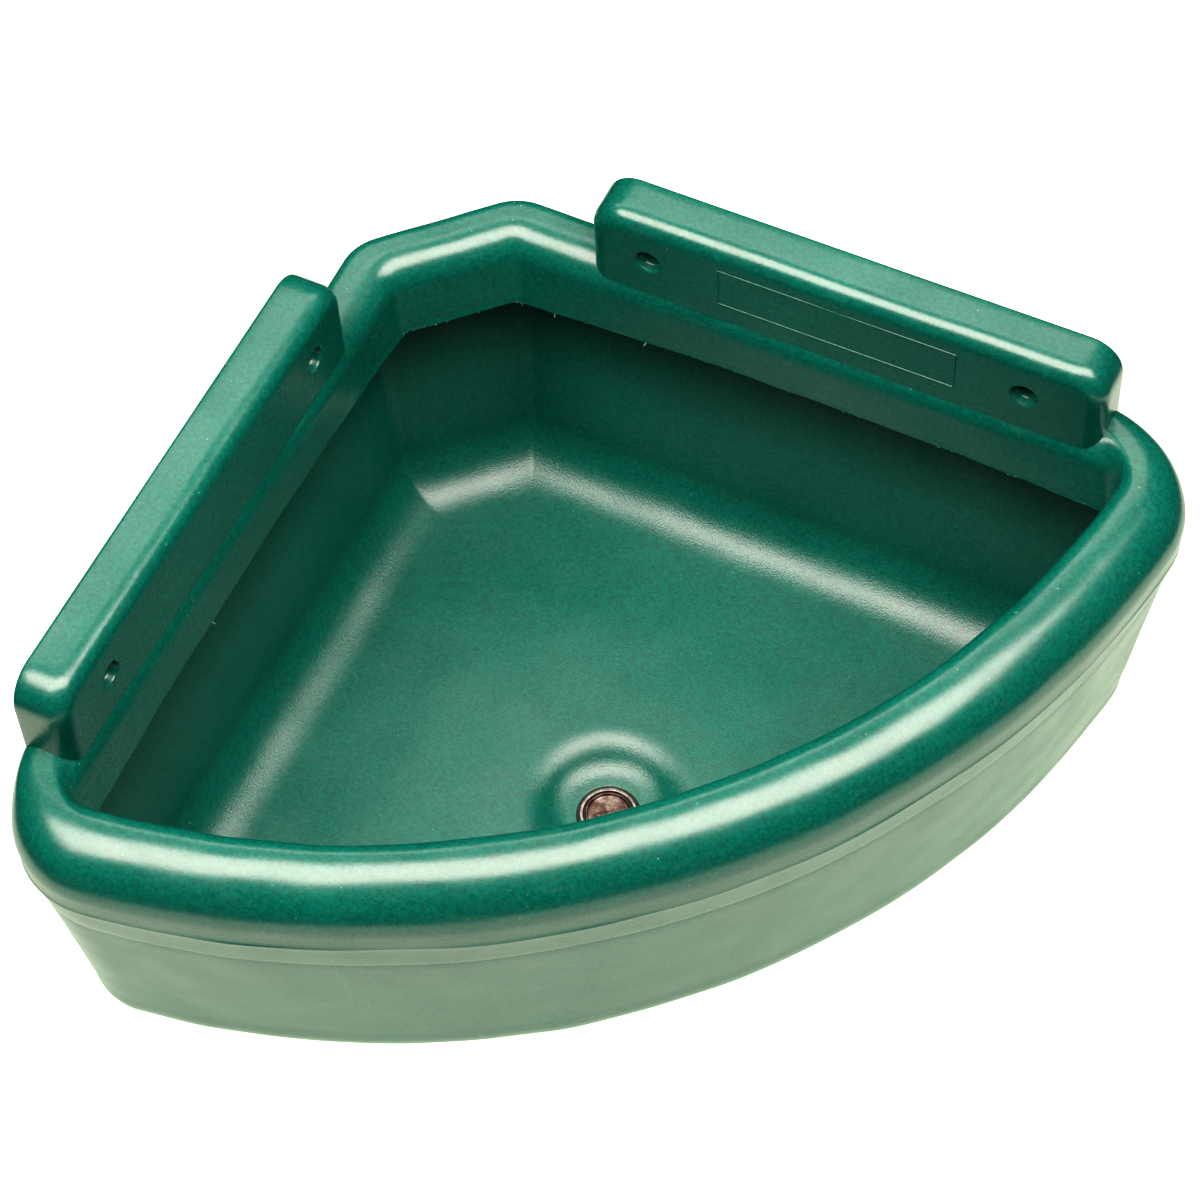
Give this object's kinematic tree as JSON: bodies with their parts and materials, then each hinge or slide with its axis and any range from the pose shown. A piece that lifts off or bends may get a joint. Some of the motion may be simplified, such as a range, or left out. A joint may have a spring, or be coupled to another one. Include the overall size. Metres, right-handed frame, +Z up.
{
  "type": "corner feed manger",
  "caption": "Corner feed manger for a stable: a moulded plastic tub with a rolled rim, two wall-fixing bars and a screw-in drain plug.",
  "frame": {"origin": "where the two stable walls and the level of the rim's ledge meet, just behind the manger's cut-off back corner", "axes": "+Z up; the right-hand stable wall is the plane Y = 0 and the left-hand wall is the plane X = 0, so the manger fills +X and -Y and its curved front faces +X -Y"},
  "size_m": [0.6457, 0.6457, 0.393],
  "materials": {
    "green_polyethylene": "semi-gloss moulded polyethylene, finely speckled",
    "plated_metal": "satin plated",
    "plug_metal": "dull, stained metal",
    "black_rubber": "matt",
    "black_nylon": "moulded"
  },
  "bodies": {
    "tub": {"tub_shell": "green_polyethylene", "drain_bush": "plated_metal", "bush_gasket": "black_rubber", "back_washer": "plated_metal", "lock_nut": "black_nylon"},
    "seal": {"plug_o_ring": "black_rubber"},
    "plug": {"drain_plug": "plug_metal"}
  },
  "joints": [
    {"name": "plug_rise", "type": "slide", "parent": "tub", "child": "seal", "axis": [0, 0, 1], "range_m": [0, 0.01385]},
    {"name": "plug_turn", "type": "hinge", "parent": "seal", "child": "plug", "pos_m": [0.30087, -0.30087, -0.2926], "axis": [0, 0, 1], "range_deg": [0, 2165]}
  ],
  "couplings": [
    {"joint": "plug_turn", "follows": "plug_rise", "rad_per_m": 2721.2}
  ]
}
